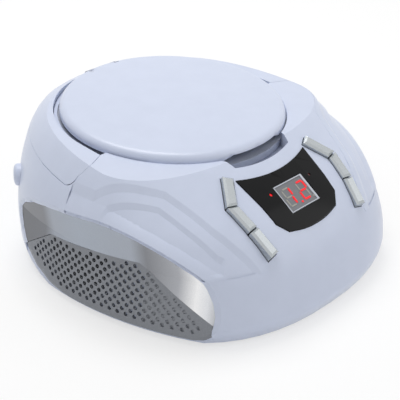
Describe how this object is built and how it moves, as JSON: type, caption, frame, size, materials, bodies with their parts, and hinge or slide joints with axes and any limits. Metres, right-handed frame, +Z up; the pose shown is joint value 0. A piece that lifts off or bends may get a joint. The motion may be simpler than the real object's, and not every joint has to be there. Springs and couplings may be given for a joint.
{
  "type": "portable cd player",
  "caption": "Rounded portable CD player with a top-loading lid, fold-down carry handle, side speaker grilles, sloped display panel with push buttons, and a battery bay underneath.",
  "frame": {"origin": "middle of the ground plane under the four feet, at the bottom centre of the bounding box", "axes": "+X to the right as seen from the front, +Y from the front panel to the rear wall, +Z up"},
  "size_m": [0.2124, 0.2215, 0.0964],
  "materials": {
    "white_casing": "smooth white moulded plastic with a cool tint",
    "silver_trim": "silver paint on plastic",
    "grille_sheet": "perforated sheet, silver grey",
    "lens_black": "gloss black display lens",
    "lamp_red": "red lit plastic",
    "display_grey": "grey display block",
    "button_silver": "silver paint on plastic",
    "dark_plastic": "black moulded plastic",
    "grey_plastic": "grey moulded plastic",
    "circuit_board": "green circuit board",
    "steel": "plain steel",
    "magnet": "ferrite and plated steel",
    "cone_paper": "black paper",
    "rubber": "black rubber",
    "coil_copper": "wound coil under tape",
    "lens_glass": "clear lens"
  },
  "bodies": {
    "casing": {"top_cover": "white_casing", "base_tub": "white_casing", "left_trim": "silver_trim", "right_trim": "silver_trim", "left_grille": "grille_sheet", "right_grille": "grille_sheet", "left_speaker_frame": "steel", "right_speaker_frame": "steel", "left_speaker_cone": "cone_paper", "right_speaker_cone": "cone_paper", "left_speaker_magnet": "magnet", "right_speaker_magnet": "magnet", "lid_hinge_pin": "steel", "handle_pins": "steel", "cd_deck": "grey_plastic", "lid_switch": "dark_plastic", "drive_plate": "steel", "drive_dampers": "rubber", "spindle_motor": "steel", "guide_rods": "steel", "feed_motor": "steel", "display_lens": "lens_black", "display_block": "display_grey", "display_segments": "lamp_red", "indicator_lamps": "lamp_red", "panel_board": "circuit_board", "tact_switches": "dark_plastic", "volume_pot": "grey_plastic", "volume_board": "circuit_board", "power_switch": "steel", "ac_inlet": "dark_plastic", "inlet_pins": "steel", "phones_jack": "dark_plastic", "line_jack": "dark_plastic", "main_board": "circuit_board", "board_parts": "dark_plastic", "transformer_core": "steel", "transformer_coil": "coil_copper", "battery_springs": "steel", "battery_plates": "steel", "rubber_feet": "rubber", "case_screws": "steel"},
    "lid": {"lid": "white_casing"},
    "handle": {"handle": "white_casing"},
    "turntable": {"turntable": "dark_plastic"},
    "sled": {"laser_sled": "dark_plastic", "laser_lens": "lens_glass"},
    "feed_screw": {"feed_screw": "steel"},
    "left_upper_button": {"left_upper_button": "button_silver"},
    "left_middle_button": {"left_middle_button": "button_silver"},
    "left_lower_button": {"left_lower_button": "button_silver"},
    "right_upper_button": {"right_upper_button": "button_silver"},
    "right_middle_button": {"right_middle_button": "button_silver"},
    "right_lower_button": {"right_lower_button": "button_silver"},
    "volume": {"volume_knob": "white_casing", "volume_shaft": "steel"},
    "power_slider": {"power_slider": "dark_plastic"},
    "battery_door": {"battery_door": "white_casing"}
  },
  "joints": [
    {"name": "lid_hinge", "type": "hinge", "parent": "casing", "child": "lid", "pos_m": [0, 0.09415, 0.09303], "axis": [-1, 0, 0], "range_deg": [0, 75]},
    {"name": "handle_pivot", "type": "hinge", "parent": "casing", "child": "handle", "pos_m": [0, 0.01642, 0.08035], "axis": [1, 0, 0], "range_deg": [0, 90]},
    {"name": "turntable_spin", "type": "hinge", "parent": "casing", "child": "turntable", "pos_m": [0, 0.026, 0.087], "axis": [0, -0.0663, 0.9978], "continuous": true},
    {"name": "sled_slide", "type": "slide", "parent": "casing", "child": "sled", "axis": [-1, 0, 0], "range_m": [0, 0.03]},
    {"name": "screw_spin", "type": "hinge", "parent": "casing", "child": "feed_screw", "pos_m": [-0.04, 0.04823, 0.06923], "axis": [1, 0, 0], "continuous": true},
    {"name": "left_upper_button_press", "type": "slide", "parent": "casing", "child": "left_upper_button", "axis": [0, 0.5592, -0.829], "range_m": [0, 0.0012], "stiffness_N_per_m": 700, "springref_m": -0.0004},
    {"name": "left_middle_button_press", "type": "slide", "parent": "casing", "child": "left_middle_button", "axis": [0, 0.5592, -0.829], "range_m": [0, 0.0012], "stiffness_N_per_m": 700, "springref_m": -0.0004},
    {"name": "left_lower_button_press", "type": "slide", "parent": "casing", "child": "left_lower_button", "axis": [0, 0.5592, -0.829], "range_m": [0, 0.0012], "stiffness_N_per_m": 700, "springref_m": -0.0004},
    {"name": "right_upper_button_press", "type": "slide", "parent": "casing", "child": "right_upper_button", "axis": [0, 0.5592, -0.829], "range_m": [0, 0.0012], "stiffness_N_per_m": 700, "springref_m": -0.0004},
    {"name": "right_middle_button_press", "type": "slide", "parent": "casing", "child": "right_middle_button", "axis": [0, 0.5592, -0.829], "range_m": [0, 0.0012], "stiffness_N_per_m": 700, "springref_m": -0.0004},
    {"name": "right_lower_button_press", "type": "slide", "parent": "casing", "child": "right_lower_button", "axis": [0, 0.5592, -0.829], "range_m": [0, 0.0012], "stiffness_N_per_m": 700, "springref_m": -0.0004},
    {"name": "volume_turn", "type": "hinge", "parent": "casing", "child": "volume", "pos_m": [-0.085, 0.0778, 0.052], "axis": [-0.7431, 0.6691, 0], "range_deg": [-140, 140]},
    {"name": "power_slide", "type": "slide", "parent": "casing", "child": "power_slider", "axis": [1, 0, 0], "range_m": [0, 0.004]},
    {"name": "door_hinge", "type": "hinge", "parent": "casing", "child": "battery_door", "pos_m": [0, -0.0337, 0.0038], "axis": [-1, 0, 0], "range_deg": [0, 70]}
  ],
  "couplings": [
    {"joint": "screw_spin", "follows": "sled_slide", "rad_per_m": 2094.4}
  ]
}
